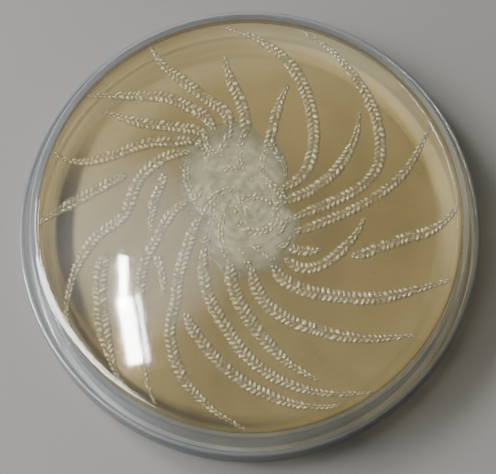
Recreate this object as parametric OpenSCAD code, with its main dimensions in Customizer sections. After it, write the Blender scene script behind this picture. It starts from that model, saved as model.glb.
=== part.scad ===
// Round two-part culture dish, kept upside down: the upturned lid stands on its foot ring,
// the base dish sits bottom-up inside it, the agar hangs under the base plate and a swirling
// colony of spiral arms grows on the free side of the agar.
// Origin: centre of the foot ring's underside. +Z up.

/* [Lid] */
// outer diameter of the lid's skirt
lid_d = 91; // [89:0.5:94]
// height from the foot ring to the edge of the skirt
lid_h = 8.2; // [7:0.2:10]
// height of the foot ring under the lid's plate
foot_h = 0.6; // [0.4:0.1:1]
// mean diameter of the foot ring
foot_d = 77.2; // [70:0.5:80]

/* [Base dish] */
// outer diameter of the base dish
base_d = 85.4; // [84:0.2:86]
// height of the base dish, lip to plate
base_h = 13.8; // [12:0.2:16]
// height of the bead round the base plate's outer face
bead_h = 0.4; // [0.2:0.1:0.8]

/* [Moulding] */
// thickness of the moulded walls
wall = 1.2; // [0.9:0.1:1.5]
// thickness of both plates
plate = 1.2; // [0.9:0.1:1.5]
// outside corner radius between plate and wall
corner = 1.8; // [1.6:0.1:2.4]

/* [Agar] */
// thickness of the agar layer
agar_t = 2.2; // [1.6:0.2:4]
// radius of the agar's climb at the wall
meniscus = 0.6; // [0.4:0.1:1]

/* [Colony] */
// thickness of the colony's middle mass
hub_t = 0.4; // [0.2:0.1:0.8]
// thickness of the spiral arms
arm_t = 0.5; // [0.3:0.1:0.8]
// full width of a typical arm
arm_w = 2.2; // [1.8:0.1:2.3]
// gap between an arm's root and the middle mass
root_gap = 0.1; // [0.05:0.05:0.3]

/* [Hidden] */
$fn = 96;
lid_r = lid_d / 2;
foot_r = foot_d / 2;
foot_w = 1;
bead_w = 0.9;
base_r = base_d / 2;
in_r = base_r - wall;
in_corner = corner - wall;
z_seat = foot_h + plate;
z_out = z_seat + base_h;
z_in = z_out - plate;
z_agar = z_in - agar_t;
arm_r = in_r - meniscus - 0.5;
steps = 5;

// one arm of the colony: stations in mm from root to tip, seen from above
arm_01 = [[-4.3, 19], [-5, 22.2], [-7.5, 24.2], [-10, 26], [-13, 28.3], [-15.6, 30.3],
  [-18.1, 32.4], [-20.4, 36]];
arm_02 = [[-7.2, 18.6], [-9, 21.4], [-11.7, 23], [-14.6, 24.5], [-17.8, 25.4], [-21.7, 25.6],
  [-25.6, 25.5], [-32.6, 25.4]];
arm_03 = [[-8.5, 17.6], [-11, 18.7], [-13.6, 19], [-16.6, 19.4], [-20.1, 19.7], [-23.7, 20.4],
  [-26.9, 21.3], [-29.7, 22.2]];
arm_04 = [[-10.8, 16.2], [-13, 16.4], [-15.8, 16.1], [-19.1, 15.9], [-22.4, 15.1],
  [-25.9, 13.6], [-29.4, 12.4], [-32.8, 11.6], [-36, 12], [-38.9, 13.5]];
arm_05 = [[-24.3, 9.4], [-26, 8.4], [-29, 6.7], [-32.6, 4.5], [-36, 2.4], [-39.2, 0.4],
  [-41.6, -1.4]];
arm_06 = [[-11.8, 14], [-14.4, 13.8], [-17, 12.8], [-19.6, 10.8], [-21.4, 8.9], [-22.7, 6.2],
  [-23.5, 3.4], [-24.8, 0.8], [-26.9, -1.2], [-29.2, -2.9], [-31, -5.1], [-32.6, -8],
  [-33.9, -11.4], [-34.7, -15], [-35, -18.6], [-34.4, -22]];
arm_07 = [[-27.9, -6.4], [-28.5, -9.6], [-28.8, -13], [-28.5, -17], [-27.9, -21],
  [-26.9, -25], [-25.7, -28.7], [-24.3, -31.8]];
arm_08 = [[-16.9, 9.6], [-17.5, 7.4], [-18.4, 5], [-19, 2.6], [-19.3, 0], [-19.4, -2.2]];
arm_09 = [[-12.2, 4], [-14.8, 2], [-16.8, -1], [-18.2, -4], [-19.8, -6.9], [-20.6, -9.8],
  [-20.9, -12.6], [-21.1, -15.4], [-21, -18.4], [-20.5, -21.8], [-20, -25.4], [-19.9, -29],
  [-19.2, -31.8], [-17.4, -36.2]];
arm_10 = [[-18, -7], [-17.1, -9.4], [-16.6, -12.2], [-16.5, -15]];
arm_11 = [[-9.6, 1], [-11.2, -2.2], [-12.3, -6], [-13.2, -9.6], [-13.8, -13], [-14, -16.3],
  [-14.8, -19.8], [-14.9, -23], [-14.2, -26.4], [-13, -29.5], [-11.2, -32.5],
  [-8.4, -35.4], [-5.4, -37.9], [-2.4, -39.6], [0.4, -41.2]];
arm_12 = [[-12.1, -18.2], [-11, -20.8], [-9.4, -23.1], [-7.2, -25.7], [-5, -28.2],
  [-2.2, -30.5], [0.6, -32.4], [3.6, -33.9], [7, -35.2], [11, -36.1], [15.4, -36.2],
  [18.2, -35.6]];
arm_13 = [[-8.6, -5], [-9, -8], [-8.6, -11], [-8, -13.8], [-7, -16.3], [-5.7, -18.8],
  [-3.9, -21.4], [-2.2, -24], [0.2, -26.9], [3.2, -29.3], [6.2, -31.1], [9.4, -32.4],
  [12.7, -33.3], [16.6, -33.7], [20.2, -33.6], [24, -33.2]];
arm_14 = [[-3.6, -8], [-3.4, -11], [-2.7, -14], [-1.3, -17], [0.8, -20.1], [2.9, -22.8],
  [5, -25.2], [7.4, -27.4], [10.2, -29.3], [13.6, -31.1]];
arm_15 = [[0.6, -9], [1.2, -12.2], [2.6, -15], [4.8, -17.3], [7.8, -19.3], [10.8, -20.5],
  [14, -21.4], [17.2, -22.2], [20.5, -22.6], [24.2, -22.8], [28, -22.5], [32.4, -22]];
arm_16 = [[4.6, -8.4], [6.4, -11], [8.8, -12.6], [11.4, -13.6], [14.6, -14.2], [18.5, -14.7],
  [22.5, -14.9], [26.5, -14.5], [30.6, -13.5], [35, -12.2], [39, -10.9]];
arm_17 = [[7, -7], [9.2, -8.7], [11.8, -9.1], [14.4, -8.2], [16.9, -6.4], [19.2, -4],
  [21.1, -1.4], [22.3, 1.2]];
arm_18 = [[7.8, -5], [10, -5.6], [12.2, -5.6], [14.2, -5.1]];
arm_19 = [[19.8, -6.5], [22.4, -5.9], [25, -4.8], [28.2, -3.5], [31.6, -2.3], [35, -1.2],
  [38.2, 1], [40.9, 4.4]];
arm_20 = [[8.4, -1.8], [11.2, -1.1], [14, 0.1], [17.4, 1.6], [21, 3.4], [24.6, 5.6],
  [27.8, 8.2], [30.3, 10.8], [32.3, 14], [34, 17.4], [35.6, 20.8]];
arm_21 = [[8.4, 0.9], [11.2, 2.2], [14.5, 3.6], [18, 5.3], [21.2, 7.2], [23.7, 9.6],
  [25.1, 12.4], [25.5, 15.5], [25.2, 19], [24.3, 22.6], [22.8, 26.3], [20.5, 30.1],
  [17.9, 33.4], [14.6, 36.6], [9.8, 39.6]];
arm_22 = [[6.4, 4.2], [9, 5.2], [12.2, 6.9], [15.4, 9.4], [17.9, 12.4], [19.7, 15.7],
  [20.9, 19.2], [21.3, 23]];
arm_23 = [[6, 6.8], [8.6, 8.2], [10.8, 10.6], [11.9, 13.6], [12.3, 16.6], [12.3, 19.6],
  [11.9, 22.6], [11.1, 25.6], [10, 28.4], [8.6, 31.2], [6.4, 33.9], [3.5, 36.3],
  [0, 38.3], [-5.4, 40.3]];
arm_24 = [[3, 14.8], [3.9, 17.6], [4.4, 20.6], [5.2, 23.8], [6.4, 26.8], [7.2, 28.6]];
arm_25 = [[-1, 18], [-1.2, 21], [-1.8, 23.6], [-2.8, 26.2], [-4, 28.6], [-5, 31.4],
  [-5.7, 34.3]];

// smooth curve through the stations
function at(p, i) = p[max(0, min(len(p) - 1, i))];
function mid(a, b, c, d, t) = 0.5 * ((2 * b) + (c - a) * t
  + (2 * a - 5 * b + 4 * c - d) * t * t + (3 * b - a - 3 * c + d) * t * t * t);
function path(p) = [for (i = [0 : len(p) - 2]) for (k = [0 : steps - 1])
  mid(at(p, i - 1), at(p, i), at(p, i + 1), at(p, i + 2), k / steps)];
function ended(p) = concat(path(p), [at(p, len(p) - 1)]);
// half width along the arm, narrow at the root and drawn out at the tip
function half(t) = t < 0.12 ? 0.78 + 0.22 * t / 0.12 : (t < 0.62 ? 1 : 1 - 0.74 * (t - 0.62) / 0.38);
function unit(v) = v / max(norm(v), 0.0001);
function side(q, i) = let (v = unit(at(q, i + 1) - at(q, i - 1))) [-v[1], v[0]];
function edge(q, w, s) = [for (i = [0 : len(q) - 1])
  q[i] + s * side(q, i) * w / 2 * half(i / (len(q) - 1))];
function flip(a) = [for (i = [len(a) - 1 : -1 : 0]) a[i]];

// outline of the colony's middle mass, grown by g
module hub_2d(g) {
  translate([0, -1.5]) circle(r = 9.8 + g);
  translate([-3.5, 9.5]) circle(r = 11 + g);
}

module arm(p, w) {
  q = ended(p);
  translate([0, 0, z_agar - arm_t])
    linear_extrude(height = arm_t)
      intersection() {
        difference() {
          polygon(concat(edge(q, w, 1), flip(edge(q, w, -1))));
          hub_2d(root_gap);
        }
        circle(r = arm_r);
      }
}

// quarter shell between a plate and a wall, centred on the corner's own circle
module bend_2d(r, t) {
  intersection() {
    difference() {
      circle(r = r);
      circle(r = r - t);
    }
    square([r, r]);
  }
}

module lid() color([0.86, 0.89, 0.92, 0.35])
  rotate_extrude() {
    translate([0, foot_h]) square([lid_r - corner, plate]);
    translate([lid_r - corner, foot_h + corner]) mirror([0, 1]) bend_2d(corner, wall);
    translate([lid_r - wall, foot_h + corner])
      square([wall, lid_h - foot_h - corner - wall / 2]);
    translate([lid_r - wall / 2, lid_h - wall / 2]) circle(r = wall / 2);
    translate([foot_r - foot_w / 2, 0]) square([foot_w, foot_h + plate / 2]);
  }

module base_dish() color([0.88, 0.91, 0.94, 0.35])
  rotate_extrude() {
    translate([0, z_in]) square([base_r - corner, plate]);
    translate([base_r - corner, z_out - corner]) bend_2d(corner, wall);
    translate([base_r - wall, z_seat + wall / 2])
      square([wall, base_h - corner - wall / 2]);
    translate([base_r - wall / 2, z_seat + wall / 2]) circle(r = wall / 2);
    translate([base_r - corner - bead_w, z_out - plate / 2])
      square([bead_w, bead_h + plate / 2]);
  }

module agar_gel() color([0.72, 0.60, 0.36, 0.8])
  rotate_extrude()
    union() {
      difference() {
        translate([0, z_agar]) square([in_r, agar_t]);
        translate([in_r - in_corner - 0.05, z_in - in_corner - 0.05])
          difference() {
            square([in_corner + 1, in_corner + 1]);
            circle(r = in_corner + 0.02);
          }
      }
      difference() {
        translate([in_r - meniscus, z_agar - meniscus]) square([meniscus, meniscus + 0.1]);
        translate([in_r - meniscus, z_agar - meniscus]) circle(r = meniscus);
      }
    }

module colony_hub() color([0.74, 0.76, 0.74])
  translate([0, 0, z_agar - hub_t])
    linear_extrude(height = hub_t) hub_2d(0);

module colony_arm_01() color([0.80, 0.80, 0.74]) arm(arm_01, arm_w);
module colony_arm_02() color([0.80, 0.80, 0.74]) arm(arm_02, arm_w);
module colony_arm_03() color([0.80, 0.80, 0.74]) arm(arm_03, arm_w);
module colony_arm_04() color([0.80, 0.80, 0.74]) arm(arm_04, arm_w);
module colony_arm_05() color([0.80, 0.80, 0.74]) arm(arm_05, arm_w);
module colony_arm_06() color([0.80, 0.80, 0.74]) arm(arm_06, arm_w);
module colony_arm_07() color([0.80, 0.80, 0.74]) arm(arm_07, arm_w + 0.5);
module colony_arm_08() color([0.80, 0.80, 0.74]) arm(arm_08, arm_w - 0.3);
module colony_arm_09() color([0.80, 0.80, 0.74]) arm(arm_09, arm_w - 0.2);
module colony_arm_10() color([0.80, 0.80, 0.74]) arm(arm_10, arm_w - 0.7);
module colony_arm_11() color([0.80, 0.80, 0.74]) arm(arm_11, arm_w);
module colony_arm_12() color([0.80, 0.80, 0.74]) arm(arm_12, arm_w);
module colony_arm_13() color([0.80, 0.80, 0.74]) arm(arm_13, arm_w);
module colony_arm_14() color([0.80, 0.80, 0.74]) arm(arm_14, arm_w + 0.3);
module colony_arm_15() color([0.80, 0.80, 0.74]) arm(arm_15, arm_w + 0.2);
module colony_arm_16() color([0.80, 0.80, 0.74]) arm(arm_16, arm_w + 0.4);
module colony_arm_17() color([0.80, 0.80, 0.74]) arm(arm_17, arm_w - 0.1);
module colony_arm_18() color([0.80, 0.80, 0.74]) arm(arm_18, arm_w - 0.2);
module colony_arm_19() color([0.80, 0.80, 0.74]) arm(arm_19, arm_w);
module colony_arm_20() color([0.80, 0.80, 0.74]) arm(arm_20, arm_w - 0.3);
module colony_arm_21() color([0.80, 0.80, 0.74]) arm(arm_21, arm_w - 0.1);
module colony_arm_22() color([0.80, 0.80, 0.74]) arm(arm_22, arm_w - 0.1);
module colony_arm_23() color([0.80, 0.80, 0.74]) arm(arm_23, arm_w + 0.1);
module colony_arm_24() color([0.80, 0.80, 0.74]) arm(arm_24, arm_w - 0.2);
module colony_arm_25() color([0.80, 0.80, 0.74]) arm(arm_25, arm_w);

lid();
base_dish();
agar_gel();
colony_hub();
colony_arm_01();
colony_arm_02();
colony_arm_03();
colony_arm_04();
colony_arm_05();
colony_arm_06();
colony_arm_07();
colony_arm_08();
colony_arm_09();
colony_arm_10();
colony_arm_11();
colony_arm_12();
colony_arm_13();
colony_arm_14();
colony_arm_15();
colony_arm_16();
colony_arm_17();
colony_arm_18();
colony_arm_19();
colony_arm_20();
colony_arm_21();
colony_arm_22();
colony_arm_23();
colony_arm_24();
colony_arm_25();
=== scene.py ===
"""Petri dish kept upside down in its lid: clear mouldings, amber agar and a braided, swirling colony."""

import bpy
import math
import random
from mathutils import Matrix, Vector


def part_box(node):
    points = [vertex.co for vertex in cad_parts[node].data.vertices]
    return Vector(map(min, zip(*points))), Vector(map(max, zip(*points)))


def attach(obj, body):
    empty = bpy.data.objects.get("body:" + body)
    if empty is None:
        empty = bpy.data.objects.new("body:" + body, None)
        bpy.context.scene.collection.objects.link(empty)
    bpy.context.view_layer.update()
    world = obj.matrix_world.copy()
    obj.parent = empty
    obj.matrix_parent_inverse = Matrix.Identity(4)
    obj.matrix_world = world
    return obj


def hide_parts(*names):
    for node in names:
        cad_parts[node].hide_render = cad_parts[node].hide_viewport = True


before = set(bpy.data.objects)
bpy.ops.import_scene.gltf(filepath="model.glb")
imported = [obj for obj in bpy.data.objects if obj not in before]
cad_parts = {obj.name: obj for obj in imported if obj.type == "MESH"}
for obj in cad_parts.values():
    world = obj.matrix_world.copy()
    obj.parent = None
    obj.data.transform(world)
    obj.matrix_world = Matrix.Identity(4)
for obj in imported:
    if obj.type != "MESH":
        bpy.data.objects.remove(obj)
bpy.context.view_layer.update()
MM = 0.001

# ---------------------------------------------------------------- sizes, from the CAD frame
lid_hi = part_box("lid")[1]
dish_lo, dish_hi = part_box("base_dish")
agar_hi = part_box("agar_gel")[1]
hub_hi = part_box("colony_hub")[1]
LID_R = lid_hi[0]
LID_TOP = lid_hi[2]
DISH_R = dish_hi[0]
DISH_LIP = dish_lo[2]
PLATE_IN = agar_hi[2]
AGAR_R = agar_hi[0]
AGAR_Z = hub_hi[2]

# the mouldings' own sizes; a plate's inner face eases into the corner over PLATE_EASE
WALL = 1.2 * MM
LID_IN = LID_R - WALL
CORNER = 1.8 * MM
PLATE_EASE = 0.5 * MM
FOOT_H = 0.6 * MM
FOOT_R = 38.6 * MM
FOOT_HALF = 0.5 * MM
FOOT_EDGE = 0.12 * MM
BEAD_H = 0.4 * MM
BEAD_W = 0.9 * MM
BEAD_EDGE = 0.14 * MM
PLATE_TOP = dish_hi[2] - BEAD_H
TURNS = 256


# ---------------------------------------------------------------- mesh helpers
def new_object(name, verts, faces, smooth=True):
    mesh = bpy.data.meshes.new(name)
    mesh.from_pydata(verts, [], faces)
    mesh.validate()
    mesh.update()
    if smooth:
        mesh.polygons.foreach_set("use_smooth", [True] * len(mesh.polygons))
    obj = bpy.data.objects.new(name, mesh)
    bpy.context.scene.collection.objects.link(obj)
    return obj


def arc(cx, cz, r, a0, a1, n):
    """Points of an arc in the r-z plane, angles in degrees."""
    out = []
    for i in range(n + 1):
        a = math.radians(a0 + (a1 - a0) * i / n)
        out.append((cx + r * math.cos(a), cz + r * math.sin(a)))
    return out


def lathe(name, profile, turns=TURNS):
    """Revolve a closed r-z profile that begins and ends on the axis."""
    ring = [p for p in profile if p[0] > 1e-7]
    first, last = profile[0], profile[-1]
    verts, faces = [], []
    for k in range(turns):
        a = 2 * math.pi * k / turns
        c, s = math.cos(a), math.sin(a)
        verts.extend((r * c, r * s, z) for r, z in ring)
    n = len(ring)
    for k in range(turns):
        b0, b1 = k * n, ((k + 1) % turns) * n
        for i in range(n - 1):
            faces.append((b0 + i, b1 + i, b1 + i + 1, b0 + i + 1))
    lo = len(verts)
    verts.append((0.0, 0.0, first[1]))
    verts.append((0.0, 0.0, last[1]))
    for k in range(turns):
        b0, b1 = k * n, ((k + 1) % turns) * n
        faces.append((lo, b1, b0))
        faces.append((lo + 1, b0 + n - 1, b1 + n - 1))
    return new_object(name, verts, faces)


def soften(obj, angle=32):
    obj.data.set_sharp_from_angle(angle=math.radians(angle))


# ---------------------------------------------------------------- materials
def nodes_of(name):
    mat = bpy.data.materials.new(name)
    mat.use_nodes = True
    nt = mat.node_tree
    nt.nodes.clear()
    return mat, nt


def link(nt, a, b):
    nt.links.new(a, b)


def obj_coords(nt):
    for n in nt.nodes:
        if n.type == "TEX_COORD":
            return n.outputs["Object"]
    return nt.nodes.new("ShaderNodeTexCoord").outputs["Object"]


def noise(nt, scale, detail=3.0, rough=0.5):
    n = nt.nodes.new("ShaderNodeTexNoise")
    n.inputs["Scale"].default_value = scale
    n.inputs["Detail"].default_value = detail
    n.inputs["Roughness"].default_value = rough
    link(nt, obj_coords(nt), n.inputs["Vector"])
    return n.outputs["Fac"]


def remap(nt, value, f0, f1, t0, t1):
    m = nt.nodes.new("ShaderNodeMapRange")
    m.inputs["From Min"].default_value = f0
    m.inputs["From Max"].default_value = f1
    m.inputs["To Min"].default_value = t0
    m.inputs["To Max"].default_value = t1
    link(nt, value, m.inputs["Value"])
    return m.outputs["Result"]


def maths(nt, op, a, b):
    m = nt.nodes.new("ShaderNodeMath")
    m.operation = op
    for i, v in enumerate((a, b)):
        if isinstance(v, (int, float)):
            m.inputs[i].default_value = v
        else:
            link(nt, v, m.inputs[i])
    return m.outputs[0]


def times(nt, a, b):
    return maths(nt, "MULTIPLY", a, b)


def larger(nt, a, b):
    return maths(nt, "MAXIMUM", a, b)


def less(nt, value):
    """One minus this value."""
    return maths(nt, "SUBTRACT", 1.0, value)


def ramp(nt, value, stops):
    r = nt.nodes.new("ShaderNodeValToRGB")
    els = r.color_ramp.elements
    els[0].position, els[0].color = stops[0][0], (*stops[0][1], 1)
    els[1].position, els[1].color = stops[-1][0], (*stops[-1][1], 1)
    for pos, col in stops[1:-1]:
        e = els.new(pos)
        e.color = (*col, 1)
    link(nt, value, r.inputs["Fac"])
    return r.outputs["Color"]


def mix_colours(nt, fac, a, b):
    m = nt.nodes.new("ShaderNodeMix")
    m.data_type = "RGBA"
    link(nt, fac, m.inputs["Factor"])
    link(nt, a, m.inputs[6])
    link(nt, b, m.inputs[7])
    return m.outputs[2]


def mix_shaders(nt, fac, a, b):
    m = nt.nodes.new("ShaderNodeMixShader")
    if isinstance(fac, (int, float)):
        m.inputs[0].default_value = fac
    else:
        link(nt, fac, m.inputs[0])
    link(nt, a, m.inputs[1])
    link(nt, b, m.inputs[2])
    return m.outputs[0]


def bump(nt, height, strength, distance):
    b = nt.nodes.new("ShaderNodeBump")
    b.inputs["Strength"].default_value = strength
    b.inputs["Distance"].default_value = distance
    link(nt, height, b.inputs["Height"])
    return b.outputs["Normal"]


def see_through(nt):
    return nt.nodes.new("ShaderNodeBsdfTransparent")


def principled(nt, ior):
    bsdf = nt.nodes.new("ShaderNodeBsdfPrincipled")
    bsdf.inputs["IOR"].default_value = ior
    return bsdf


def scatter(nt):
    """The milky part of hazy or misted plastic."""
    haze = principled(nt, 1.3)
    haze.inputs["Roughness"].default_value = 0.5
    return haze


def output(nt, shader):
    out = nt.nodes.new("ShaderNodeOutputMaterial")
    link(nt, shader, out.inputs["Surface"])


def radius(nt):
    """Distance from the dish's axis, in metres."""
    flat = nt.nodes.new("ShaderNodeVectorMath")
    flat.operation = "MULTIPLY"
    flat.inputs[1].default_value = (1, 1, 0)
    link(nt, obj_coords(nt), flat.inputs[0])
    long = nt.nodes.new("ShaderNodeVectorMath")
    long.operation = "LENGTH"
    link(nt, flat.outputs[0], long.inputs[0])
    return long.outputs["Value"]


def zone(nt, value, start, end, soft=0.6 * MM):
    """1 between start and end, with soft edges."""
    rise = remap(nt, value, start - soft, start + soft, 0.0, 1.0)
    fall = remap(nt, value, end - soft, end + soft, 1.0, 0.0)
    return times(nt, rise, fall)


def height(nt):
    """Height above the table, in metres."""
    split = nt.nodes.new("ShaderNodeSeparateXYZ")
    link(nt, obj_coords(nt), split.inputs[0])
    return split.outputs["Z"]


def facing_way(nt, azimuth):
    """1 where a point lies in this direction from the axis, -1 on the far side."""
    a = math.radians(azimuth)
    turn = nt.nodes.new("ShaderNodeVectorMath")
    turn.operation = "DOT_PRODUCT"
    turn.inputs[1].default_value = (math.cos(a), math.sin(a), 0)
    link(nt, obj_coords(nt), turn.inputs[0])
    return maths(nt, "DIVIDE", turn.outputs["Value"], radius(nt))


def toward_side(nt, azimuth, start, full, low=0.0, high=1.0):
    """Goes from low to high as a point comes round from start to full, by facing_way."""
    return remap(nt, facing_way(nt, azimuth), start, full, low, high)


# roughness of the wide glow, and the distances from the axis over which the plates' ripple dies out
GLOW_ROUGH = 0.36
RIPPLE_END = (40.5 * MM, 42.0 * MM)


def two_gloss(nt, fine, share):
    """Polished plastic: a sharp reflection with a faint wide glow from fine scratches."""
    on_plate = remap(nt, radius(nt), *RIPPLE_END, 1.0, 0.0)
    ripple = bump(nt, times(nt, noise(nt, 14.0, 2.0, 0.4), on_plate), strength=0.25, distance=0.4 * MM)
    sharp = nt.nodes.new("ShaderNodeBsdfGlossy")
    rough = remap(nt, noise(nt, 420.0, 4.0, 0.6), 0.4, 0.75, fine, fine * 2.2)
    link(nt, rough, sharp.inputs["Roughness"])
    link(nt, ripple, sharp.inputs["Normal"])
    glow = nt.nodes.new("ShaderNodeBsdfGlossy")
    glow.inputs["Roughness"].default_value = GLOW_ROUGH
    return mix_shaders(nt, share, sharp.outputs[0], glow.outputs[0])


def glancing(nt):
    """0 where a surface is seen straight on, 1 where it is seen edge-on."""
    weight = nt.nodes.new("ShaderNodeLayerWeight")
    weight.inputs["Blend"].default_value = 0.5
    return weight.outputs["Facing"]


def mirror_share(nt, straight_on, edge_on=0.4):
    """Share of light reflected: this much head-on, rising to edge_on at a glancing angle."""
    steep = maths(nt, "POWER", glancing(nt), 5.0)
    return remap(nt, steep, 0.0, 1.0, straight_on, edge_on)


def wall_haze(nt, plate, wall, edge_on, wall_from, wall_to):
    """Share of milky scatter: clear plates, faintly hazy side walls, milky where a wall is seen edge-on."""
    grazing = remap(nt, glancing(nt), 0.45, 0.92, wall, edge_on)
    on_wall = remap(nt, radius(nt), wall_from, wall_to, 0.0, 1.0)
    mottle = remap(nt, noise(nt, 260.0, 5.0, 0.6), 0.35, 0.7, 0.95, 1.05)
    return times(nt, larger(nt, times(nt, on_wall, grazing), plate), mottle)


def dish_material():
    """Clear plastic with a little haze, darker at the sides of the agar and paler below it; the paler haze
    below is a painted brightening for light the gel bends onto the wall.
    """
    mat, nt = nodes_of("dish_clear_polystyrene")
    clear = see_through(nt)
    clear.inputs["Color"].default_value = (0.975, 0.98, 0.98, 1)
    haze = scatter(nt)
    cloud = noise(nt, 90.0, 4.0, 0.55)
    upper = ramp(nt, cloud, [(0.3, (0.33, 0.355, 0.385)), (0.75, (0.42, 0.445, 0.475))])
    lower = ramp(nt, cloud, [(0.3, (0.50, 0.525, 0.55)), (0.75, (0.60, 0.625, 0.65))])
    # painted light: the haze colour is paler below the agar, for light bent onto the wall through the gel
    painted_light_below_agar = remap(nt, height(nt), AGAR_Z - 0.5 * MM, AGAR_Z + 1.0 * MM, 1.0, 0.0)
    link(nt, mix_colours(nt, painted_light_below_agar, upper, lower), haze.inputs["Base Color"])
    fac = wall_haze(nt, 0.015, 0.08, 0.85, AGAR_R - 0.3 * MM, AGAR_R + 0.6 * MM)
    body = mix_shaders(nt, fac, clear.outputs[0], haze.outputs[0])
    gloss = two_gloss(nt, fine=0.018, share=0.07)
    output(nt, mix_shaders(nt, mirror_share(nt, 0.04), body, gloss))
    return mat


# zones of the misted lid, with its painted shadow ring, painted pool of light and painted shade at the rim:
# distances from the axis, and directions in degrees from +X
SHADOW_RING_IN = 37.7 * MM
SHADOW_RING_IN_WIDEST = 35.2 * MM
SHADOW_WIDE_WAY = 186
SHADOW_DARK_WAY = 203
SHADOW_FAINT_WAY = 50
SHADOW_SPOT_WAY = 10.5
PAINTED_LIGHT_WAY = 38
PAINTED_LIGHT_FROM = 38.0 * MM
PAINTED_LIGHT_TO = 42.0 * MM
GAP_START = 41.0 * MM
GAP_FULL = 42.5 * MM
PAINTED_SHADE_WAY = 345


def painted_shadow_ring(nt, r):
    """Painted shadow on the ring over the foot ring, where the mist is also left off: wider and darker on the
    -X side, with a dark spot toward +X.
    """
    widest = toward_side(nt, SHADOW_WIDE_WAY, 0.72, 0.985)
    inner = remap(nt, widest, 0.0, 1.0, SHADOW_RING_IN, SHADOW_RING_IN_WIDEST)
    inside = remap(nt, maths(nt, "SUBTRACT", r, inner), -0.5 * MM, 0.5 * MM, 0.0, 1.0)
    band = times(nt, inside, remap(nt, r, FOOT_R, FOOT_R + 0.7 * MM, 1.0, 0.0))
    strong = toward_side(nt, SHADOW_DARK_WAY, 0.35, 0.85)
    faint = toward_side(nt, SHADOW_FAINT_WAY, -0.9, 0.95, 0.7, 0.25)
    shadow_spot = toward_side(nt, SHADOW_SPOT_WAY, 0.9965, 0.9988, 0.0, 0.9)
    return times(nt, band, larger(nt, larger(nt, strong, faint), shadow_spot))


def lid_material():
    """Clear lid misted inside with condensation; a painted shadow darkens the unmisted ring over the foot
    ring, a painted pool of light brightens the mist toward +X+Y, and mist thinned in the gap toward +X is
    painted shade.
    """
    mat, nt = nodes_of("lid_clear_polystyrene")
    clear = see_through(nt)
    r = radius(nt)
    # painted shadow: a dark see-through tint on the ring over the foot ring, with the mist left off there
    painted_shadow = painted_shadow_ring(nt, r)
    painted_shadow_tint = ramp(nt, painted_shadow, [(0.0, (0.95, 0.96, 0.96)), (1.0, (0.34, 0.31, 0.25))])
    link(nt, painted_shadow_tint, clear.inputs["Color"])
    drops = noise(nt, 70.0, 4.0, 0.55)
    # painted light: a pale pool in the mist toward +X+Y, where the walls gather light
    painted_light_side = toward_side(nt, PAINTED_LIGHT_WAY, 0.35, 0.9)
    painted_light_zone = times(nt, zone(nt, r, PAINTED_LIGHT_FROM, PAINTED_LIGHT_TO, 0.4 * MM), painted_light_side)
    gap = remap(nt, r, GAP_START, GAP_FULL, 0.0, 0.3)
    level = maths(nt, "ADD", times(nt, drops, 0.5), larger(nt, painted_light_zone, gap))
    haze = scatter(nt)
    mist_colour = ramp(nt, level, [(0.1, (0.58, 0.61, 0.64)), (0.4, (0.67, 0.69, 0.71)),
                                   (1.0, (0.95, 0.95, 0.93))])
    rim = remap(nt, r, LID_IN - 0.2 * MM, LID_IN + 0.2 * MM, 0.0, 1.0)
    rim_colour = ramp(nt, drops, [(0.3, (0.20, 0.215, 0.235)), (0.7, (0.245, 0.26, 0.28))])
    link(nt, mix_colours(nt, rim, mist_colour, rim_colour), haze.inputs["Base Color"])
    mist = remap(nt, noise(nt, 38.0, 4.0, 0.55), 0.3, 0.7, 0.34, 0.52)
    mist = larger(nt, mist, times(nt, painted_light_zone, 0.9))
    # painted shade: the mist in the gap is thinned toward +X, so the dark floor shows there
    painted_shade_gap = times(nt, gap, toward_side(nt, PAINTED_SHADE_WAY, 0.0, 0.9, 0.0, 1.6))
    mist = times(nt, mist, less(nt, painted_shade_gap))
    mist = times(nt, mist, remap(nt, r, LID_IN - 0.9 * MM, LID_IN, 1.0, 0.0))
    lip = times(nt, remap(nt, height(nt), LID_TOP - 1.6 * MM, LID_TOP - 0.4 * MM, 0.0, 0.6), rim)
    walls = larger(nt, wall_haze(nt, 0.02, 0.12, 0.85, LID_IN - 2.0 * MM, LID_IN - 0.5 * MM), lip)
    misted = times(nt, larger(nt, walls, mist), less(nt, times(nt, painted_shadow, 0.97)))
    body = mix_shaders(nt, misted, clear.outputs[0], haze.outputs[0])
    gloss = two_gloss(nt, fine=0.05, share=0.1)
    output(nt, mix_shaders(nt, mirror_share(nt, 0.03), body, gloss))
    return mat


# zones of the gel, for its painted lit rim, its painted shade side and its clearings over the painted shadow:
# distances from the axis, and directions in degrees from +X
PAINTED_LIGHT_RIM_FROM = 36.6 * MM
PAINTED_LIGHT_RIM_TO = 43.0 * MM
PAINTED_LIGHT_RIM_WAY = 42
GEL_SHADE_WAY = 296
RING_GEL_FROM = 34.1 * MM
RING_GEL_TO = 38.0 * MM
RING_GEL_WAY = 188
EDGE_GEL_FROM = 38.3 * MM
EDGE_GEL_TO = 41.4 * MM
EDGE_GEL_WAY = 232


def gel_clearing_for_painted_shade(nt, r):
    """How much the gel clears, in one band on its -X side and one at its edge toward -X and -Y, so that the
    lid's painted shadow shows through there as painted shade.
    """
    over_shadow_ring = times(nt, zone(nt, r, RING_GEL_FROM, RING_GEL_TO),
                      toward_side(nt, RING_GEL_WAY, 0.78, 0.97, 0.0, 0.85))
    at_edge = times(nt, zone(nt, r, EDGE_GEL_FROM, EDGE_GEL_TO),
                    toward_side(nt, EDGE_GEL_WAY, 0.55, 0.9, 0.0, 0.8))
    return larger(nt, over_shadow_ring, at_edge)


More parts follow.
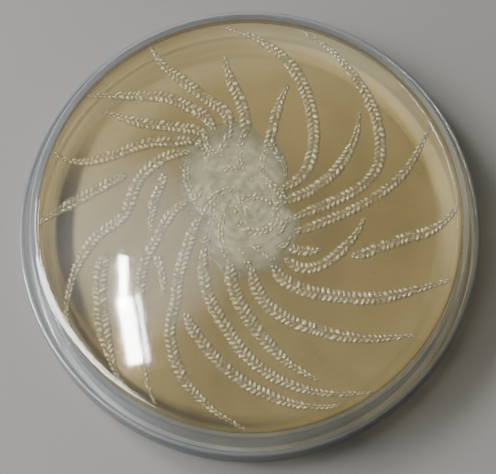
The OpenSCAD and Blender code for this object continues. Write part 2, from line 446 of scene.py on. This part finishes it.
def agar_material():
    """Amber gel, clear where it meets the plate and cloudier at its free face; its rim toward +X+Y is painted
    paler as painted light, its side toward -Y is painted darker as painted shade, and it clears where the
    lid's painted shadow should show.
    """
    mat, nt = nodes_of("agar_amber_gel")
    clear = see_through(nt)
    r = radius(nt)
    deep = noise(nt, 22.0, 3.0, 0.5)
    # painted light: the gel's rim toward +X+Y is paler and milkier, for light the walls gather there
    painted_light_rim = times(nt, zone(nt, r, PAINTED_LIGHT_RIM_FROM, PAINTED_LIGHT_RIM_TO, 0.5 * MM), toward_side(nt, PAINTED_LIGHT_RIM_WAY, 0.3, 0.85))
    tint = ramp(nt, deep, [(0.3, (0.93, 0.85, 0.62)), (0.7, (0.97, 0.90, 0.70))])
    painted_light_tint = ramp(nt, deep, [(0.3, (0.955, 0.905, 0.74)), (0.7, (0.975, 0.935, 0.80))])
    link(nt, mix_colours(nt, painted_light_rim, tint, painted_light_tint), clear.inputs["Color"])
    gel = principled(nt, 1.34)
    pale = ramp(nt, deep, [(0.3, (0.50, 0.42, 0.225)), (0.7, (0.58, 0.49, 0.29))])
    # painted shade: a darker copy of the gel colour, laid on toward -Y and +X
    strong = ramp(nt, deep, [(0.3, (0.44, 0.365, 0.185)), (0.7, (0.51, 0.43, 0.24))])
    # painted light: this milky colour is used only in the painted lit rim
    milky = ramp(nt, deep, [(0.3, (0.68, 0.60, 0.41)), (0.7, (0.77, 0.69, 0.50))])
    painted_shade_side = remap(nt, times(nt, facing_way(nt, GEL_SHADE_WAY), r), 4.0 * MM, 30.0 * MM, 0.0, 1.0)
    gel_colour = mix_colours(nt, painted_light_rim, mix_colours(nt, painted_shade_side, pale, strong), milky)
    link(nt, gel_colour, gel.inputs["Base Color"])
    rough = remap(nt, noise(nt, 60.0, 3.0, 0.5), 0.35, 0.7, 0.2, 0.35)
    link(nt, rough, gel.inputs["Roughness"])
    dimples = bump(nt, noise(nt, 35.0, 3.0, 0.5), strength=0.2, distance=0.5 * MM)
    link(nt, dimples, gel.inputs["Normal"])
    cloud = remap(nt, noise(nt, 45.0, 4.0, 0.55), 0.3, 0.7, 0.34, 0.46)
    # the gel is thinned where the lid's painted shadow is to show through
    cloud = times(nt, cloud, less(nt, gel_clearing_for_painted_shade(nt, r)))
    low = remap(nt, height(nt), AGAR_Z + 0.3 * MM, AGAR_Z + 1.2 * MM, 1.0, 0.05)
    output(nt, mix_shaders(nt, times(nt, cloud, low), clear.outputs[0], gel.outputs[0]))
    return mat


def colony_material(name, low, high, thinnest, thickest, rough_low, rough_high, grain, unevenness):
    """Wet milky growth: thin and glassy in the grooves, denser and paler on the crests; on the arms the
    near-white crest colour is also a painted highlight standing in for glints.
    """
    mat, nt = nodes_of(name)
    grow = principled(nt, 1.5)
    crest = nt.nodes.new("ShaderNodeAttribute")
    crest.attribute_name = "crest"
    cloud = noise(nt, grain, 3.0, 0.6)
    level = maths(nt, "ADD", crest.outputs["Fac"], remap(nt, cloud, 0.3, 0.7, -unevenness, unevenness))
    middle = tuple(a * 0.75 + b * 0.25 for a, b in zip(low, high))
    link(nt, ramp(nt, level, [(0.1, low), (0.5, middle), (0.85, high)]), grow.inputs["Base Color"])
    link(nt, remap(nt, cloud, 0.35, 0.7, rough_low, rough_high), grow.inputs["Roughness"])
    link(nt, bump(nt, noise(nt, 900.0, 3.0, 0.6), strength=0.3, distance=0.2 * MM), grow.inputs["Normal"])
    clear = see_through(nt)
    clear.inputs["Color"].default_value = (0.95, 0.95, 0.92, 1)
    solid = remap(nt, level, -0.1, 0.9, thinnest, thickest)
    output(nt, mix_shaders(nt, solid, clear.outputs[0], grow.outputs[0]))
    return mat


LID_MAT = lid_material()
DISH_MAT = dish_material()
AGAR_MAT = agar_material()
# painted highlight: the arms' near-white high colour is partly the growth's pale body and partly painted
# glints
ARM_MAT = colony_material("colony_milky_growth", low=(0.54, 0.53, 0.48), high=(0.92, 0.92, 0.91),
                          thinnest=0.16, thickest=0.8, rough_low=0.05, rough_high=0.16,
                          grain=1500.0, unevenness=0.34)
HUB_MAT = colony_material("colony_blue_grey_film", low=(0.45, 0.51, 0.58), high=(0.68, 0.74, 0.82),
                          thinnest=0.25, thickest=0.92, rough_low=0.12, rough_high=0.3,
                          grain=420.0, unevenness=0.16)


def dress(obj, mat, slot, body, *replaced):
    obj.data.materials.append(mat)
    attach(obj, body)
    if replaced:
        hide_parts(*replaced)


# ---------------------------------------------------------------- the two mouldings
def lid_profile():
    """Section of the upturned lid: foot ring, plate, corner and skirt with a round lip."""
    plate_top = FOOT_H + WALL
    bend = LID_R - CORNER
    p = [(0.0, FOOT_H), (FOOT_R - FOOT_HALF - FOOT_EDGE, FOOT_H)]
    p += arc(FOOT_R - FOOT_HALF + FOOT_EDGE, FOOT_EDGE, FOOT_EDGE, 180, 270, 4)
    p += arc(FOOT_R + FOOT_HALF - FOOT_EDGE, FOOT_EDGE, FOOT_EDGE, 270, 360, 4)
    p += [(FOOT_R + FOOT_HALF + FOOT_EDGE, FOOT_H)]
    p += arc(bend, FOOT_H + CORNER, CORNER, 270, 360, 14)
    p += arc(LID_R - WALL / 2, LID_TOP - WALL / 2, WALL / 2, 0, 180, 16)
    p += arc(bend, FOOT_H + CORNER, CORNER - WALL, 360, 270, 8)
    p += [(bend - PLATE_EASE, plate_top), (0.0, plate_top)]
    return p


def dish_profile():
    """Section of the base, bottom-up: skirt with a round lip, corner, stacking bead and plate."""
    bend = DISH_R - CORNER
    bead_in = bend - BEAD_W
    top = dish_hi[2]
    p = [(0.0, PLATE_IN), (bend - PLATE_EASE, PLATE_IN)]
    p += arc(bend, PLATE_TOP - CORNER, CORNER - WALL, 90, 0, 8)
    p += arc(DISH_R - WALL / 2, DISH_LIP + WALL / 2, WALL / 2, 180, 360, 16)
    p += arc(bend, PLATE_TOP - CORNER, CORNER, 0, 90, 14)
    p += arc(bend - BEAD_EDGE, top - BEAD_EDGE, BEAD_EDGE, 0, 90, 4)
    p += arc(bead_in + BEAD_EDGE, top - BEAD_EDGE, BEAD_EDGE, 90, 180, 4)
    p += [(bead_in - 0.05 * MM, PLATE_TOP), (0.0, PLATE_TOP)]
    return p


lid = lathe("lid_moulding", lid_profile())
soften(lid)
dress(lid, LID_MAT, "lid_plastic", "lid", "lid")
dish = lathe("dish_moulding", dish_profile())
soften(dish)
dress(dish, DISH_MAT, "dish_plastic", "base", "base_dish")


def agar_profile():
    """Slab under the plate, its faintly wavy free face climbing the wall in a small curve."""
    meniscus = 0.6 * MM
    round_off = 0.65 * MM
    wave = 0.05 * MM
    top = PLATE_IN - 0.02 * MM
    edge = AGAR_R - 0.01 * MM
    steps = 24
    p = [(0.0, AGAR_Z)]
    for k in range(1, steps):
        p.append(((edge - meniscus) * k / steps, AGAR_Z + wave * math.sin(k * 0.9) * k / steps))
    p += arc(edge - meniscus, AGAR_Z - meniscus, meniscus, 90, 0, 8)
    p += [(edge, AGAR_Z - meniscus + 0.05 * MM), (edge, top - round_off - 0.05 * MM)]
    p += arc(edge - round_off, top - round_off, round_off, 0, 90, 6)
    p += [(0.0, top)]
    return p


agar = lathe("agar_slab", agar_profile())
soften(agar, angle=40)
dress(agar, AGAR_MAT, "agar", "base", "agar_gel")

# ---------------------------------------------------------------- the colony
# each arm: its width and the stations of its middle line, root to tip, in mm
ARMS = {
    1: (2.2, [(-4.3, 19), (-5, 22.2), (-7.5, 24.2), (-10, 26), (-13, 28.3), (-15.6, 30.3), (-18.1, 32.4),
              (-20.4, 36)]),
    2: (2.2, [(-7.2, 18.6), (-9, 21.4), (-11.7, 23), (-14.6, 24.5), (-17.8, 25.4), (-21.7, 25.6),
              (-25.6, 25.5), (-32.6, 25.4)]),
    3: (2.2, [(-8.5, 17.6), (-11, 18.7), (-13.6, 19), (-16.6, 19.4), (-20.1, 19.7), (-23.7, 20.4),
              (-26.9, 21.3), (-29.7, 22.2)]),
    4: (2.2, [(-10.8, 16.2), (-13, 16.4), (-15.8, 16.1), (-19.1, 15.9), (-22.4, 15.1), (-25.9, 13.6),
              (-29.4, 12.4), (-32.8, 11.6), (-36, 12), (-38.9, 13.5)]),
    5: (2.2, [(-24.3, 9.4), (-26, 8.4), (-29, 6.7), (-32.6, 4.5), (-36, 2.4), (-39.2, 0.4),
              (-41.6, -1.4)]),
    6: (2.2, [(-11.8, 14), (-14.4, 13.8), (-17, 12.8), (-19.6, 10.8), (-21.4, 8.9), (-22.7, 6.2),
              (-23.5, 3.4), (-24.8, 0.8), (-26.9, -1.2), (-29.2, -2.9), (-31, -5.1), (-32.6, -8),
              (-33.9, -11.4), (-34.7, -15), (-35, -18.6), (-34.4, -22)]),
    7: (2.7, [(-27.9, -6.4), (-28.5, -9.6), (-28.8, -13), (-28.5, -17), (-27.9, -21), (-26.9, -25),
              (-25.7, -28.7), (-24.3, -31.8)]),
    8: (1.9, [(-16.9, 9.6), (-17.5, 7.4), (-18.4, 5), (-19, 2.6), (-19.3, 0), (-19.4, -2.2)]),
    9: (2.0, [(-12.2, 4), (-14.8, 2), (-16.8, -1), (-18.2, -4), (-19.8, -6.9), (-20.6, -9.8),
              (-20.9, -12.6), (-21.1, -15.4), (-21, -18.4), (-20.5, -21.8), (-20, -25.4), (-19.9, -29),
              (-19.2, -31.8), (-17.4, -36.2)]),
    10: (1.5, [(-18, -7), (-17.1, -9.4), (-16.6, -12.2), (-16.5, -15)]),
    11: (2.2, [(-9.6, 1), (-11.2, -2.2), (-12.3, -6), (-13.2, -9.6), (-13.8, -13), (-14, -16.3),
               (-14.8, -19.8), (-14.9, -23), (-14.2, -26.4), (-13, -29.5), (-11.2, -32.5), (-8.4, -35.4),
               (-5.4, -37.9), (-2.4, -39.6), (0.4, -41.2)]),
    12: (2.2, [(-12.1, -18.2), (-11, -20.8), (-9.4, -23.1), (-7.2, -25.7), (-5, -28.2), (-2.2, -30.5),
               (0.6, -32.4), (3.6, -33.9), (7, -35.2), (11, -36.1), (15.4, -36.2), (18.2, -35.6)]),
    13: (2.2, [(-8.6, -5), (-9, -8), (-8.6, -11), (-8, -13.8), (-7, -16.3), (-5.7, -18.8), (-3.9, -21.4),
               (-2.2, -24), (0.2, -26.9), (3.2, -29.3), (6.2, -31.1), (9.4, -32.4), (12.7, -33.3),
               (16.6, -33.7), (20.2, -33.6), (24, -33.2)]),
    14: (2.5, [(-3.6, -8), (-3.4, -11), (-2.7, -14), (-1.3, -17), (0.8, -20.1), (2.9, -22.8), (5, -25.2),
               (7.4, -27.4), (10.2, -29.3), (13.6, -31.1)]),
    15: (2.4, [(0.6, -9), (1.2, -12.2), (2.6, -15), (4.8, -17.3), (7.8, -19.3), (10.8, -20.5),
               (14, -21.4), (17.2, -22.2), (20.5, -22.6), (24.2, -22.8), (28, -22.5), (32.4, -22)]),
    16: (2.6, [(4.6, -8.4), (6.4, -11), (8.8, -12.6), (11.4, -13.6), (14.6, -14.2), (18.5, -14.7),
               (22.5, -14.9), (26.5, -14.5), (30.6, -13.5), (35, -12.2), (39, -10.9)]),
    17: (2.1, [(7, -7), (9.2, -8.7), (11.8, -9.1), (14.4, -8.2), (16.9, -6.4), (19.2, -4), (21.1, -1.4),
               (22.3, 1.2)]),
    18: (2.0, [(7.8, -5), (10, -5.6), (12.2, -5.6), (14.2, -5.1)]),
    19: (2.2, [(19.8, -6.5), (22.4, -5.9), (25, -4.8), (28.2, -3.5), (31.6, -2.3), (35, -1.2), (38.2, 1),
               (40.9, 4.4)]),
    20: (1.9, [(8.4, -1.8), (11.2, -1.1), (14, 0.1), (17.4, 1.6), (21, 3.4), (24.6, 5.6), (27.8, 8.2),
               (30.3, 10.8), (32.3, 14), (34, 17.4), (35.6, 20.8)]),
    21: (2.1, [(8.4, 0.9), (11.2, 2.2), (14.5, 3.6), (18, 5.3), (21.2, 7.2), (23.7, 9.6), (25.1, 12.4),
               (25.5, 15.5), (25.2, 19), (24.3, 22.6), (22.8, 26.3), (20.5, 30.1), (17.9, 33.4),
               (14.6, 36.6), (9.8, 39.6)]),
    22: (2.1, [(6.4, 4.2), (9, 5.2), (12.2, 6.9), (15.4, 9.4), (17.9, 12.4), (19.7, 15.7), (20.9, 19.2),
               (21.3, 23)]),
    23: (2.3, [(6, 6.8), (8.6, 8.2), (10.8, 10.6), (11.9, 13.6), (12.3, 16.6), (12.3, 19.6), (11.9, 22.6),
               (11.1, 25.6), (10, 28.4), (8.6, 31.2), (6.4, 33.9), (3.5, 36.3), (0, 38.3), (-5.4, 40.3)]),
    24: (2.0, [(3, 14.8), (3.9, 17.6), (4.4, 20.6), (5.2, 23.8), (6.4, 26.8), (7.2, 28.6)]),
    25: (2.2, [(-1, 18), (-1.2, 21), (-1.8, 23.6), (-2.8, 26.2), (-4, 28.6), (-5, 31.4), (-5.7, 34.3)]),
}
# each strand in the film: its width, whether it closes on itself, and its stations, in mm
HUB_STRANDS = [
    (1.7, False, [(-1, 19.6), (-1.7, 17), (-2.3, 14.2), (-2.0, 11.6), (-0.9, 9.4), (0.9, 8.0)]),
    (1.7, False, [(3.6, 17.2), (4.2, 15.6), (5.6, 13.6), (6.7, 11.4), (6.9, 9.2)]),
    (1.8, False, [(6.8, 4.7), (5.6, 6.4), (3.8, 8.0), (1.8, 9.6)]),
    (1.6, False, [(-9.2, 17.6), (-8.4, 15.2), (-6.6, 13.6), (-4.6, 12.8)]),
    (1.8, False, [(-11.8, 13.4), (-12.6, 10.6), (-12.3, 7.8), (-11.1, 5.2), (-9.9, 2.6), (-8.2, 0.4)]),
    (1.7, True, [(1.4 + 3.9 * math.cos(math.radians(a)), 1.6 + 3.6 * math.sin(math.radians(a)))
                 for a in range(0, 360, 30)]),
    (1.6, False, [(-3.7, -8.4), (-4.8, -5.8), (-5.6, -3.0), (-5.4, 0.2), (-4.4, 3.2), (-3.4, 5.6)]),
    (1.6, False, [(0.4, -9.4), (-0.9, -7.2), (-2.4, -5.2)]),
    (1.5, False, [(-8.5, -5), (-8.0, -2.4), (-7.4, 0.4), (-7.2, 3.4), (-7.8, 6.4), (-8.6, 9.0)]),
    (1.5, False, [(5.2, -7.8), (3.0, -6.2), (0.6, -4.6), (-1.6, -3.0)]),
    (1.5, False, [(7.8, -2.4), (6.8, -4.6), (4.6, -5.2)]),
    (1.9, False, [(-4.4, 19.2), (-4.6, 17.2), (-5.6, 15.2), (-7.0, 13.4)]),
    (1.8, False, [(-10.9, 16.3), (-9.4, 15.2), (-8.6, 13.2), (-8.9, 11.2)]),
    (1.8, False, [(-12.0, 4.1), (-10.2, 5.4), (-9.2, 7.2)]),
    (1.8, False, [(-9.5, 1.2), (-8.6, 3.4), (-6.8, 5.2), (-4.6, 6.4), (-2.2, 7.0)]),
    (1.8, False, [(6.5, 4.2), (5.0, 2.6), (4.8, 0.4)]),
    (1.8, False, [(8.5, 0.9), (6.9, 0.2), (5.9, -1.6), (4.0, -3.0)]),
    (1.6, False, [(3.2, 14.9), (2.4, 12.8), (2.2, 10.6), (3.4, 8.8)]),
    (1.6, False, [(-5.8, 10.4), (-3.8, 10.9), (-1.8, 10.2)]),
]


def catmull(a, b, c, d, t):
    """A point of the smooth curve between stations b and c."""
    out = []
    for p, q, r, s in zip(a, b, c, d):
        square = (2 * p - 5 * q + 4 * r - s) * t * t
        cube = (3 * q - p - 3 * r + s) * t ** 3
        out.append(0.5 * (2 * q + (r - p) * t + square + cube))
    return tuple(out)


def along(stations, closed, step):
    """Evenly spaced points on the smooth curve through the stations, and its length."""
    n = len(stations)
    dense = []
    last = n if closed else n - 1
    for i in range(last):
        near = [i + k for k in (-1, 0, 1, 2)]
        quad = [stations[k % n] if closed else stations[max(0, min(n - 1, k))] for k in near]
        for k in range(16):
            dense.append(catmull(*quad, k / 16))
    dense.append(stations[0] if closed else stations[-1])
    lengths = [0.0]
    for a, b in zip(dense, dense[1:]):
        lengths.append(lengths[-1] + math.hypot(b[0] - a[0], b[1] - a[1]))
    total = lengths[-1]
    count = max(8, int(total / step))
    pts, j = [], 0
    for k in range(count + (0 if closed else 1)):
        s = total * k / count
        while j < len(lengths) - 2 and lengths[j + 1] < s:
            j += 1
        f = (s - lengths[j]) / max(1e-9, lengths[j + 1] - lengths[j])
        pts.append(tuple(dense[j][i] + (dense[j + 1][i] - dense[j][i]) * f for i in (0, 1)))
    return pts, total


# the beads of a strand: one bead's length in mm, and places across as shares of its half width
PERIOD = 1.02
SLANT = 0.55
ROW_AT = 0.47
ROW_HALF = 0.5
ROW_OUT = 0.55
BEAD_SIZES = (0.35, 0.6, 0.75, 0.9, 1.0, 1.0)
SIZES_REPEAT = 97
WAVES = 6
# its ends: the root and the tail as shares of its length, and the rounding of both in mm
ROOT = 0.12
TAIL = 0.62
END_ROUND = 1.2
# the arms stay this far inside the agar's edge
ARM_INSET = 0.35 * MM
ACROSS = [-1, -0.93, -0.78, -0.6, -0.42, -0.24, -0.1, 0, 0.1, 0.24, 0.42, 0.6, 0.78, 0.93, 1]


def taper(t):
    """Share of the full width at t along an arm: a narrow root, a full middle and a thin tip."""
    if t < ROOT:
        return 0.3 + 0.7 * math.sin(math.pi / 2 * t / ROOT) ** 0.7
    return 1.0 if t < TAIL else 1 - 0.74 * (t - TAIL) / (1 - TAIL)


def lobe(s, v, shift, sizes):
    """Two rows of slanting beads of uneven size: s runs along the arm, v across it."""
    row = 0.5 if v >= 0 else 0.0
    place = s / PERIOD + SLANT * abs(v) + row + shift
    bead = max(0.0, math.sin(math.pi * (place % 1.0))) ** 1.3
    across = max(0.0, 1 - ((abs(v) - ROW_AT) / ROW_HALF) ** 2)
    return bead * across * sizes[(2 * int(place) + (v >= 0)) % len(sizes)]


def strand_faces(n, closed):
    """Faces of a strand with n cross-sections, each a row of points above and one below."""
    faces = []
    m = len(ACROSS)
    ring = 2 * m
    for i in range(n if closed else n - 1):
        b0, b1 = i * ring, ((i + 1) % n) * ring
        for k in range(m - 1):
            faces.append((b0 + k + 1, b0 + k, b1 + k, b1 + k + 1))
            faces.append((b0 + m + k, b0 + m + k + 1, b1 + m + k + 1, b1 + m + k))
        faces.append((b0, b0 + m, b1 + m, b1))
        faces.append((b0 + 2 * m - 1, b0 + m - 1, b1 + m - 1, b1 + 2 * m - 1))
    if not closed:
        for i, flipped in ((0, False), (n - 1, True)):
            b = i * ring
            loop = [b + k for k in range(m)] + [b + m + k for k in range(m - 1, -1, -1)]
            faces.append(tuple(reversed(loop)) if flipped else tuple(loop))
    return faces


def braid(stations, width, closed=False, rise=0.42, drop=0.42, seed=0, step=0.14):
    """Vertices in metres, faces and crest values of one braided strand; an open one tapers to its ends."""
    rng = random.Random(seed)
    pts, total = along(stations, closed, step)
    n = len(pts)
    wobble = [rng.uniform(-1, 1) for _ in range(WAVES)]
    sizes = [rng.choice(BEAD_SIZES) for _ in range(SIZES_REPEAT)]
    verts, crest = [], []
    for i, (x, y) in enumerate(pts):
        a = pts[(i - 1) % n] if closed else pts[max(0, i - 1)]
        b = pts[(i + 1) % n] if closed else pts[min(n - 1, i + 1)]
        dx, dy = b[0] - a[0], b[1] - a[1]
        d = max(1e-9, math.hypot(dx, dy))
        nx, ny = -dy / d, dx / d
        t = i / (n - 1)
        half = width / 2 * (1.0 if closed else taper(t))
        size = 0.45 + 0.55 * min(1, half / 0.8)
        shift = 0.22 * sum(wobble[k] * math.sin(2 * math.pi * t * (k + 2)) for k in range(WAVES)) / 2
        to_end = min(0.5, min(t, 1 - t) * total / END_ROUND)
        ends = 1.0 if closed else min(1.0, math.sin(math.pi * to_end) ** 0.5 + 0.02)
        for side in (1, -1):
            for v in ACROSS:
                h = lobe(total * t, v, shift, sizes)
                dome = math.sqrt(max(0.0, 1 - v * v))
                beside = lobe(total * t, ROW_OUT if v > 0 else -ROW_OUT, shift, sizes)
                off = v * half * (1.1 + 0.16 * (beside - 0.4) * abs(v))
                if side > 0:
                    z = rise * size * ends * (0.30 * dome + 0.70 * h)
                else:
                    z = -drop * size * ends * (0.45 * dome + 0.55 * h)
                verts.append(((x + nx * off) * MM, (y + ny * off) * MM, AGAR_Z + z * MM))
                crest.append(h)
    return verts, strand_faces(n, closed), crest


def add_crest(obj, crest):
    at = obj.data.attributes.new("crest", "FLOAT", "POINT")
    at.data.foreach_set("value", crest)


def clip(verts, limit):
    """Keep every point within this distance of the axis."""
    out = []
    for x, y, z in verts:
        r = math.hypot(x, y)
        k = limit / r if r > limit else 1.0
        out.append((x * k, y * k, z))
    return out


for number, (width, stations) in ARMS.items():
    verts, faces, crest = braid(stations, width, seed=number)
    arm = new_object("colony_braid_%02d" % number, clip(verts, AGAR_R - ARM_INSET), faces)
    add_crest(arm, crest)
    dress(arm, ARM_MAT, "colony_arms", "base", "colony_arm_%02d" % number)


# the film in the middle, in mm: its outline is that of two circles, (x, y, radius), joined
FILM_CIRCLES = ((0, -1.5, 9.8), (-3.5, 9.5, 11.0))
FILM_MIDDLE = (-1.5, 3.5)
FILM_HALF = 0.16
FRAY = 0.30
FRAY_WAVES = (5, 9, 14, 23)


def film_edge(a):
    """Distance from the film's middle to its outline along direction a, in mm."""
    best = 0.0
    for ox, oy, r in FILM_CIRCLES:
        px, py = ox - FILM_MIDDLE[0], oy - FILM_MIDDLE[1]
        b = px * math.cos(a) + py * math.sin(a)
        disc = b * b - (px * px + py * py - r * r)
        if disc > 0:
            best = max(best, b + math.sqrt(disc))
    return best


def hub_film():
    """A thin domed film with a frayed edge and a faint swirl in its surface."""
    rng = random.Random(5)
    spokes, rings = 220, 46
    verts, faces, crest = [], [], []
    cx, cy = FILM_MIDDLE
    phases = [rng.uniform(0, 6.28) for _ in range(8)]
    for side in (1, -1):
        base = len(verts)
        verts.append((cx * MM, cy * MM, AGAR_Z + side * FILM_HALF * MM))
        crest.append(0.5)
        for k in range(1, rings + 1):
            f = k / rings
            for s in range(spokes):
                a = 2 * math.pi * s / spokes
                fray = FRAY * sum(math.sin(a * w + phases[i]) for i, w in enumerate(FRAY_WAVES)) * f
                rim = film_edge(a) + fray - 0.2
                x, y = cx + rim * f * math.cos(a), cy + rim * f * math.sin(a)
                swirl = math.sin(2.6 * f * rim + 3 * a + phases[5]) * math.sin(7 * a - 1.4 * f * rim)
                z = (FILM_HALF + 0.05 * swirl) * math.sqrt(max(0.0, 1 - f ** 8))
                verts.append((x * MM, y * MM, AGAR_Z + side * max(z, 0.0) * MM))
                crest.append(0.58 + 0.07 * swirl - 0.75 * max(0.0, f - 0.72) / 0.28)
        for s in range(spokes):
            t = (s + 1) % spokes
            tri = (base, base + 1 + s, base + 1 + t)
            faces.append(tri if side > 0 else tri[::-1])
        for k in range(rings - 1):
            r0, r1 = base + 1 + k * spokes, base + 1 + (k + 1) * spokes
            for s in range(spokes):
                t = (s + 1) % spokes
                quad = (r0 + s, r1 + s, r1 + t, r0 + t)
                faces.append(quad if side > 0 else quad[::-1])
    per_side = 1 + rings * spokes
    top = 1 + (rings - 1) * spokes
    bottom = per_side + top
    for s in range(spokes):
        t = (s + 1) % spokes
        faces.append((top + s, bottom + s, bottom + t, top + t))
    return verts, faces, crest


verts, faces, crest = hub_film()
hub = new_object("colony_film", verts, faces)
add_crest(hub, crest)
dress(hub, HUB_MAT, "colony_film", "base", "colony_hub")
verts, faces, crest = [], [], []
for i, (width, closed, stations) in enumerate(HUB_STRANDS):
    v, f, c = braid(stations, width * 0.85, closed=closed, rise=0.46, drop=0.3, seed=100 + i)
    off = len(verts)
    verts += v
    crest += c
    faces += [tuple(k + off for k in face) for face in f]
strands = new_object("colony_swirl_strands", verts, faces)
add_crest(strands, crest)
dress(strands, ARM_MAT, "colony_arms", "base")


# ---------------------------------------------------------------- floor, camera, lights
FLOOR_HALF = 12.0


def floor_material():
    mat, nt = nodes_of("floor_pale")
    bsdf = nt.nodes.new("ShaderNodeBsdfPrincipled")
    col = ramp(nt, noise(nt, 9.0, 3.0, 0.5), [(0.3, (0.178, 0.174, 0.163)), (0.7, (0.194, 0.189, 0.178))])
    link(nt, col, bsdf.inputs["Base Color"])
    bsdf.inputs["Roughness"].default_value = 0.7
    output(nt, bsdf.outputs[0])
    return mat


corners = [(x * FLOOR_HALF, y * FLOOR_HALF, 0) for x, y in ((-1, -1), (1, -1), (1, 1), (-1, 1))]
floor = new_object("floor", corners, [(0, 1, 2, 3)], smooth=False)
floor.data.materials.append(floor_material())


def aim(obj, place, target):
    obj.location = place
    obj.rotation_euler = (Vector(target) - Vector(place)).to_track_quat("-Z", "Y").to_euler()


def area_light(name, place, target, size, power, colour=(1, 1, 1)):
    data = bpy.data.lights.new(name, "AREA")
    data.shape = "RECTANGLE"
    data.size, data.size_y = size
    data.energy = power
    data.color = colour
    obj = bpy.data.objects.new(name, data)
    bpy.context.scene.collection.objects.link(obj)
    aim(obj, place, target)
    return obj


def toward(azimuth, elevation, distance, centre):
    """The place this far from centre in this direction, in degrees."""
    a, e = math.radians(azimuth), math.radians(elevation)
    x = centre[0] + distance * math.cos(e) * math.cos(a)
    y = centre[1] + distance * math.cos(e) * math.sin(a)
    return (x, y, centre[2] + distance * math.sin(e))


# camera: its view leans from the dish's axis by CAM_TILT degrees; the lens is given over the sensor's width
CAM_TARGET = (-0.3 * MM, -1.9 * MM, 8 * MM)
CAM_AZIMUTH = 271
CAM_TILT = 14.9
CAM_DIST = 0.4
SENSOR_WIDTH = 36
LENS_PER_WIDTH = 4.1008065
cam_data = bpy.data.cameras.new("camera")
cam_data.sensor_width = SENSOR_WIDTH
cam_data.lens = LENS_PER_WIDTH * SENSOR_WIDTH
cam_data.clip_start = 0.01
cam = bpy.data.objects.new("camera", cam_data)
bpy.context.scene.collection.objects.link(cam)
cam_place = toward(CAM_AZIMUTH, 90 - CAM_TILT, CAM_DIST, CAM_TARGET)
aim(cam, cam_place, CAM_TARGET)
bpy.context.scene.camera = cam

# soft lights, all at one distance: azimuth and elevation in degrees, size in metres, watts and colour
LIGHT_DIST = 0.9
LIGHT_TARGET = (0, 0, 0.01)
LIGHTS = {
    "key_soft": (143, 41, (0.2, 0.2), 8.6, (1.0, 0.985, 0.96)),
    "window": (171, 42, (0.36, 0.25), 7.5, (1, 1, 1)),
    "reflector_card": (185, 45, (0.3, 1.2), 46.0, (1, 1, 1)),
}


def soft_light(name):
    azimuth, elevation, size, power, colour = LIGHTS[name]
    place = toward(azimuth, elevation, LIGHT_DIST, LIGHT_TARGET)
    return area_light(name, place, LIGHT_TARGET, size, power, colour)


# the streak's cards stand this many times as far from the plate as the camera
CARD_FAR = 2.6


def streak_card(name, start, end, width, power):
    """A long bright card whose mirror image on the plate runs from start to end, all in mm."""
    seen = [Vector((x * MM, y * MM, PLATE_TOP)) for x, y in (start, end)]
    centre = (seen[0] + seen[1]) / 2
    below = Vector((cam_place[0], cam_place[1], 2 * PLATE_TOP - cam_place[2]))
    ends = [p + (p - below) * CARD_FAR for p in seen]
    middle = (ends[0] + ends[1]) / 2
    length = (ends[1] - ends[0]).length
    light = area_light(name, middle, centre, (width * MM * (1 + CARD_FAR), length), power)
    long = (ends[1] - ends[0]).normalized()
    out = (middle - centre).normalized()
    side = long.cross(out).normalized()
    out = side.cross(long)
    light.rotation_euler = Matrix((side, long, out)).transposed().to_euler()


# the key shows in no reflection, and the reflector card lights no matt surface
soft_light("key_soft").visible_glossy = False
streak_card("streak_main_top", (-24.4, -8.0), (-24.1, -17.5), 1.4, 0.11)
streak_card("streak_main_foot", (-24.0, -16.0), (-21.2, -29.0), 2.9, 0.26)
streak_card("streak_side_foot", (-21.5, -15.0), (-18.8, -28.6), 0.6, 0.026)
soft_light("window")
soft_light("reflector_card").visible_diffuse = False

# the sky's bright patch: its direction, the cosine at its edge, and the sky's strength outside and inside
PATCH_WAY = (-22.5, 99, 380)
PATCH_EDGE = 0.9987
SKY_DIM = 0.14
SKY_PATCH = 3.6


def sky():
    """Dim even studio light, with one soft patch overhead that lays a pale sheen on the plate's left side."""
    world = bpy.data.worlds.new("studio")
    bpy.context.scene.world = world
    world.use_nodes = True
    nt = world.node_tree
    background = nt.nodes["Background"]
    background.inputs["Color"].default_value = (0.93, 0.96, 1.0, 1)
    toward_patch = nt.nodes.new("ShaderNodeVectorMath")
    toward_patch.operation = "DOT_PRODUCT"
    toward_patch.inputs[1].default_value = Vector(PATCH_WAY).normalized()
    coords = nt.nodes.new("ShaderNodeTexCoord")
    link(nt, coords.outputs["Generated"], toward_patch.inputs[0])
    patch = nt.nodes.new("ShaderNodeMapRange")
    patch.interpolation_type = "SMOOTHSTEP"
    patch.inputs["From Min"].default_value = PATCH_EDGE
    patch.inputs["From Max"].default_value = 1.0
    patch.inputs["To Min"].default_value = SKY_DIM
    patch.inputs["To Max"].default_value = SKY_PATCH
    link(nt, toward_patch.outputs["Value"], patch.inputs["Value"])
    link(nt, patch.outputs["Result"], background.inputs["Strength"])


sky()
